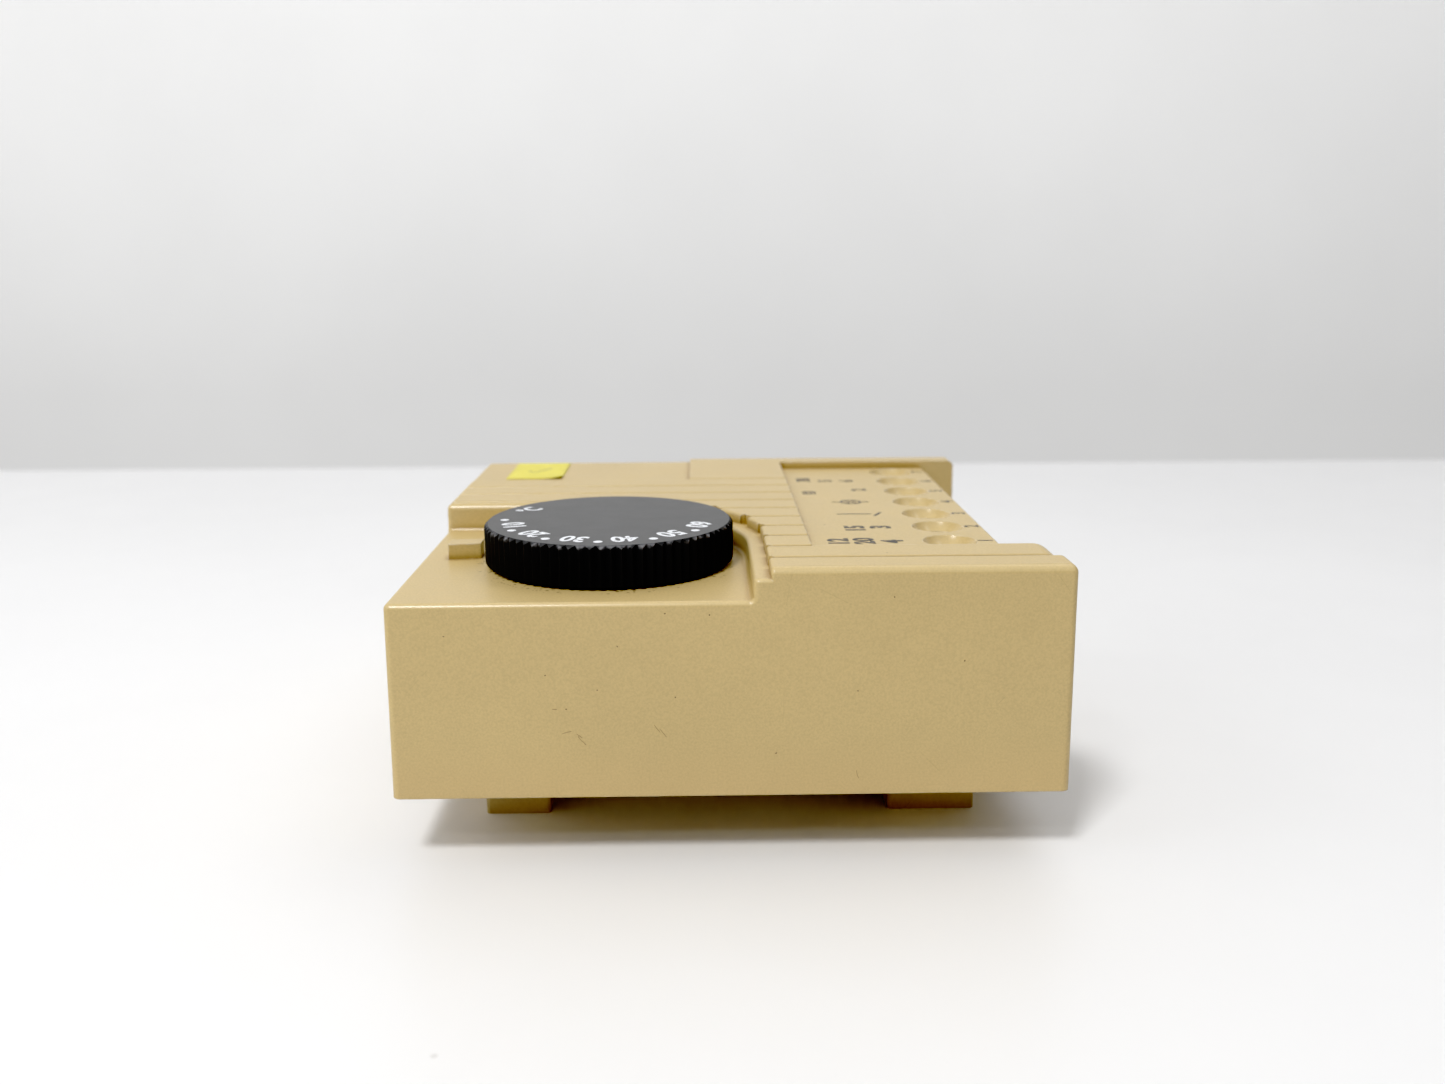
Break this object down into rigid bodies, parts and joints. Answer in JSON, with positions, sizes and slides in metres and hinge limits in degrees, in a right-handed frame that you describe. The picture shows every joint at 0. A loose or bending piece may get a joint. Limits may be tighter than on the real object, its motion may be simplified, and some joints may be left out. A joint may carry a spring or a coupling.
{
  "type": "enclosure thermostat",
  "caption": "Square rail-mounted enclosure thermostat with knurled setting dial, ribbed housing and recessed screw terminals.",
  "frame": {"origin": "centre of the square housing, in the plane of the rail feet", "axes": "+Z out of the rail towards the dial, +X towards the terminal side, -Y towards the dial end; the rail runs along Y"},
  "size_m": [0.0714, 0.0714, 0.0335],
  "materials": {
    "housing_beige": "fine moulded texture",
    "base_beige": "fine moulded texture",
    "latch_beige": "fine moulded texture",
    "dial_black": "matte with white printed scale",
    "sticker_yellow": "printed paper",
    "zinc_steel": "zinc plated",
    "spindle_brass": "turned",
    "spring_steel": "bright drawn",
    "cam_white": "moulded acetal",
    "pressed_steel": "zinc plated",
    "bimetal": "rolled two-layer strip",
    "switch_black": "moulded thermoset",
    "contact_bronze": "rolled bronze",
    "contact_silver": "silver",
    "conductor_brass": "stamped",
    "resistor_body": "lacquer",
    "tinned_wire": "tinned",
    "block_grey": "moulded polyamide"
  },
  "bodies": {
    "housing": {"front_cover": "housing_beige", "rear_base": "base_beige", "terminal_block": "block_grey", "test_sticker": "sticker_yellow", "cover_screws": "zinc_steel", "spindle_bush": "spindle_brass", "lever_pin": "zinc_steel", "switch_body": "switch_black", "switch_lid": "switch_black", "break_conductor": "conductor_brass", "make_conductor": "conductor_brass", "common_conductor": "conductor_brass", "neutral_conductor": "conductor_brass", "supply_link": "conductor_brass", "feedback_resistor": "resistor_body", "resistor_leads": "tinned_wire"},
    "dial": {"setting_dial": "dial_black", "dial_spindle": "spindle_brass", "retaining_clip": "spring_steel", "setpoint_cam": "cam_white"},
    "lever": {"setting_lever": "pressed_steel", "calibration_screw": "spindle_brass", "strip_clamp": "pressed_steel", "clamp_rivets": "zinc_steel", "lever_spring": "spring_steel"},
    "strip": {"bimetal_strip": "bimetal"},
    "plunger": {"switch_plunger": "cam_white"},
    "blade": {"contact_blade": "contact_bronze", "moving_contact": "contact_silver"},
    "latch": {"rail_latch": "latch_beige"},
    "screw_1": {"clamp_screw_1": "zinc_steel"},
    "cage_1": {"clamp_cage_1": "zinc_steel"},
    "screw_2": {"clamp_screw_2": "zinc_steel"},
    "cage_2": {"clamp_cage_2": "zinc_steel"},
    "screw_3": {"clamp_screw_3": "zinc_steel"},
    "cage_3": {"clamp_cage_3": "zinc_steel"},
    "screw_4": {"clamp_screw_4": "zinc_steel"},
    "cage_4": {"clamp_cage_4": "zinc_steel"},
    "screw_5": {"clamp_screw_5": "zinc_steel"},
    "cage_5": {"clamp_cage_5": "zinc_steel"},
    "screw_6": {"clamp_screw_6": "zinc_steel"},
    "cage_6": {"clamp_cage_6": "zinc_steel"},
    "screw_7": {"clamp_screw_7": "zinc_steel"},
    "cage_7": {"clamp_cage_7": "zinc_steel"}
  },
  "joints": [
    {"name": "dial_turn", "type": "hinge", "parent": "housing", "child": "dial", "pos_m": [-0.0136, -0.01705, 0.031], "axis": [0, 0, 1], "range_deg": [-160.5, 0]},
    {"name": "lever_swing", "type": "hinge", "parent": "housing", "child": "lever", "pos_m": [-0.029, -0.007, 0.016], "axis": [0, 0, 1], "range_deg": [-6, 0]},
    {"name": "strip_flex", "type": "hinge", "parent": "lever", "child": "strip", "pos_m": [-0.0188, -0.0045, 0.016], "axis": [0, 0, 1], "range_deg": [0, 0.976]},
    {"name": "plunger_travel", "type": "slide", "parent": "housing", "child": "plunger", "axis": [0, 1, 0], "range_m": [0, 0.00048]},
    {"name": "blade_swing", "type": "hinge", "parent": "housing", "child": "blade", "pos_m": [0.0042, 0.00013, 0.016], "axis": [0, 0, 1], "range_deg": [0, 5.66]},
    {"name": "latch_slide", "type": "slide", "parent": "housing", "child": "latch", "axis": [1, 0, 0], "range_m": [0, 0.003]},
    {"name": "clamp_screw_1_turn", "type": "hinge", "parent": "housing", "child": "screw_1", "pos_m": [0.0253, -0.01945, 0.0255], "axis": [0, 0, -1], "range_deg": [0, 1729]},
    {"name": "clamp_cage_1_lift", "type": "slide", "parent": "housing", "child": "cage_1", "axis": [0, 0, 1], "range_m": [0, 0.0024]},
    {"name": "clamp_screw_2_turn", "type": "hinge", "parent": "housing", "child": "screw_2", "pos_m": [0.0253, -0.0117, 0.0255], "axis": [0, 0, -1], "range_deg": [0, 1729]},
    {"name": "clamp_cage_2_lift", "type": "slide", "parent": "housing", "child": "cage_2", "axis": [0, 0, 1], "range_m": [0, 0.0024]},
    {"name": "clamp_screw_3_turn", "type": "hinge", "parent": "housing", "child": "screw_3", "pos_m": [0.0253, -0.00395, 0.0255], "axis": [0, 0, -1], "range_deg": [0, 1729]},
    {"name": "clamp_cage_3_lift", "type": "slide", "parent": "housing", "child": "cage_3", "axis": [0, 0, 1], "range_m": [0, 0.0024]},
    {"name": "clamp_screw_4_turn", "type": "hinge", "parent": "housing", "child": "screw_4", "pos_m": [0.0253, 0.0038, 0.0255], "axis": [0, 0, -1], "range_deg": [0, 1729]},
    {"name": "clamp_cage_4_lift", "type": "slide", "parent": "housing", "child": "cage_4", "axis": [0, 0, 1], "range_m": [0, 0.0024]},
    {"name": "clamp_screw_5_turn", "type": "hinge", "parent": "housing", "child": "screw_5", "pos_m": [0.0253, 0.01155, 0.0255], "axis": [0, 0, -1], "range_deg": [0, 1729]},
    {"name": "clamp_cage_5_lift", "type": "slide", "parent": "housing", "child": "cage_5", "axis": [0, 0, 1], "range_m": [0, 0.0024]},
    {"name": "clamp_screw_6_turn", "type": "hinge", "parent": "housing", "child": "screw_6", "pos_m": [0.0253, 0.0193, 0.0255], "axis": [0, 0, -1], "range_deg": [0, 1729]},
    {"name": "clamp_cage_6_lift", "type": "slide", "parent": "housing", "child": "cage_6", "axis": [0, 0, 1], "range_m": [0, 0.0024]},
    {"name": "clamp_screw_7_turn", "type": "hinge", "parent": "housing", "child": "screw_7", "pos_m": [0.0253, 0.02705, 0.0255], "axis": [0, 0, -1], "range_deg": [0, 1729]},
    {"name": "clamp_cage_7_lift", "type": "slide", "parent": "housing", "child": "cage_7", "axis": [0, 0, 1], "range_m": [0, 0.0024]}
  ],
  "couplings": [
    {"joint": "lever_swing", "follows": "dial_turn", "ratio": 0.037156},
    {"joint": "plunger_travel", "follows": "strip_flex", "m_per_rad": 0.0278},
    {"joint": "blade_swing", "follows": "strip_flex", "ratio": 5.7917},
    {"joint": "clamp_screw_1_turn", "follows": "clamp_cage_1_lift", "rad_per_m": 12566},
    {"joint": "clamp_screw_2_turn", "follows": "clamp_cage_2_lift", "rad_per_m": 12566},
    {"joint": "clamp_screw_3_turn", "follows": "clamp_cage_3_lift", "rad_per_m": 12566},
    {"joint": "clamp_screw_4_turn", "follows": "clamp_cage_4_lift", "rad_per_m": 12566},
    {"joint": "clamp_screw_5_turn", "follows": "clamp_cage_5_lift", "rad_per_m": 12566},
    {"joint": "clamp_screw_6_turn", "follows": "clamp_cage_6_lift", "rad_per_m": 12566},
    {"joint": "clamp_screw_7_turn", "follows": "clamp_cage_7_lift", "rad_per_m": 12566}
  ]
}
